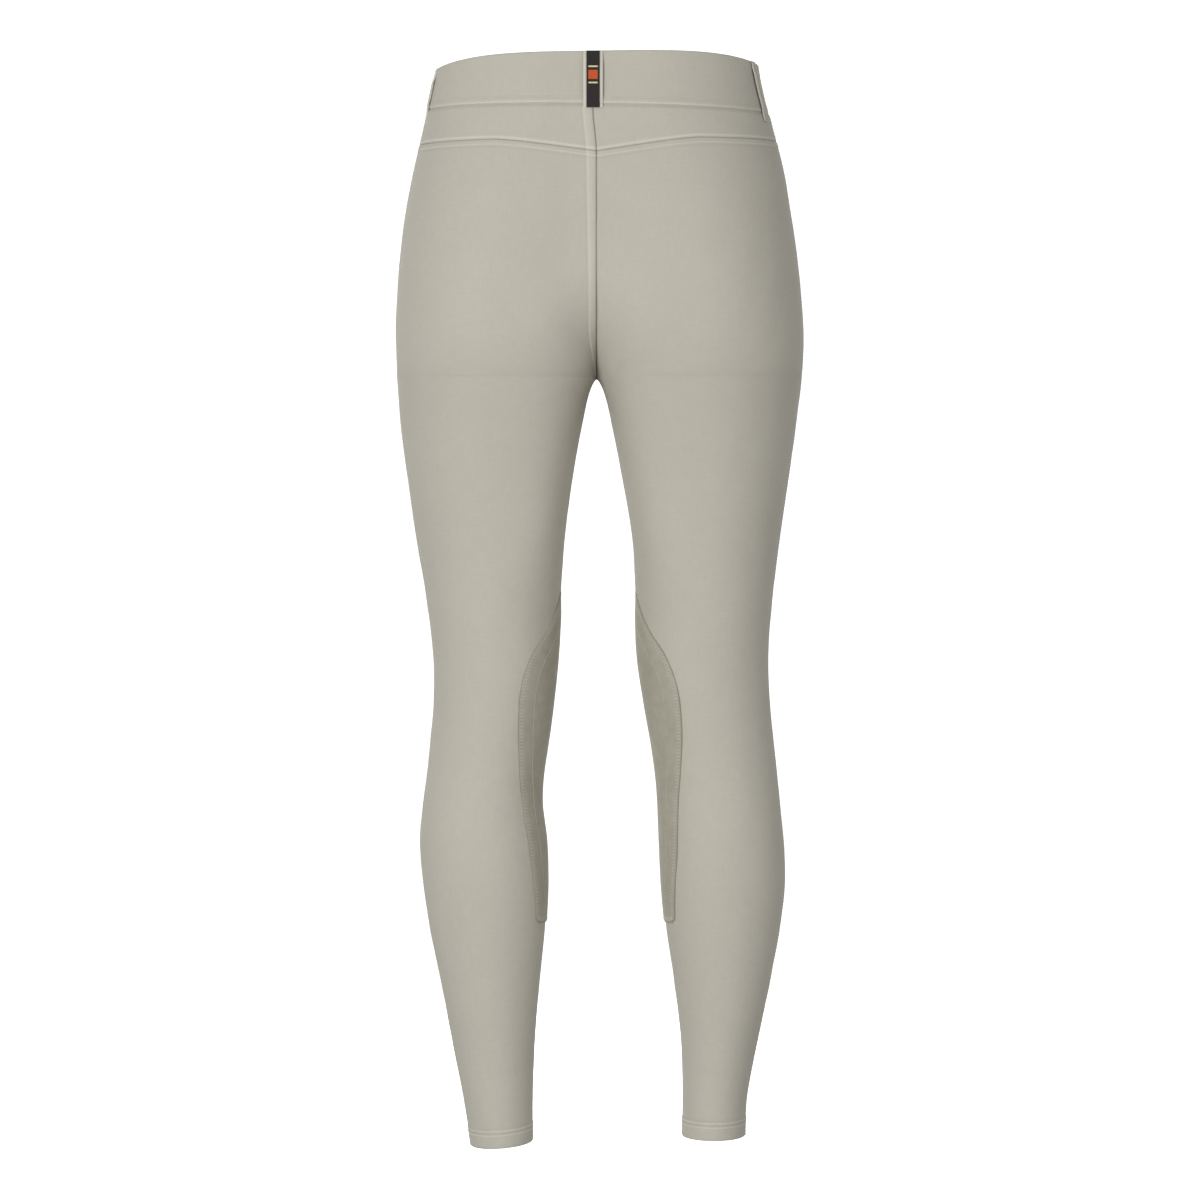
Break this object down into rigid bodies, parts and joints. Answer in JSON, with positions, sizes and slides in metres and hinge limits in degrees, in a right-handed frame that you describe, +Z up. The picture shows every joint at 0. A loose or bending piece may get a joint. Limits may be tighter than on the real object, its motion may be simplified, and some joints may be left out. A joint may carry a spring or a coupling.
{
  "type": "riding breeches",
  "caption": "Full-length stretch riding breeches with a contoured waistband, back yokes, belt loops and grip patches at the inner knees, hollow in their worn shape.",
  "frame": {"origin": "middle of the waistband's ring, halfway up the band, where the waist is held", "axes": "+Z up along the body, -Y towards the front, +X towards the left leg"},
  "size_m": [0.3748, 0.2368, 1.007],
  "materials": {
    "cloth": "matt sage-beige stretch twill with a fine weave",
    "grip_suede": "darker brushed synthetic suede",
    "woven_tape": "black woven tape with plain coloured bars",
    "button": "satin moulded button in the cloth's colour"
  },
  "bodies": {
    "root": {"waistband_back": "cloth", "waistband_front_left": "cloth", "waistband_front_right": "cloth", "yoke_left": "cloth", "yoke_right": "cloth", "back_left": "cloth", "back_right": "cloth", "front_left": "cloth", "front_right": "cloth", "knee_patch_left": "grip_suede", "knee_patch_right": "grip_suede", "belt_loop_back": "cloth", "belt_loop_side_left": "cloth", "belt_loop_side_right": "cloth", "belt_loop_front_left": "cloth", "belt_loop_front_right": "cloth", "loop_tape": "woven_tape", "waist_button": "button"}
  },
  "joints": []
}
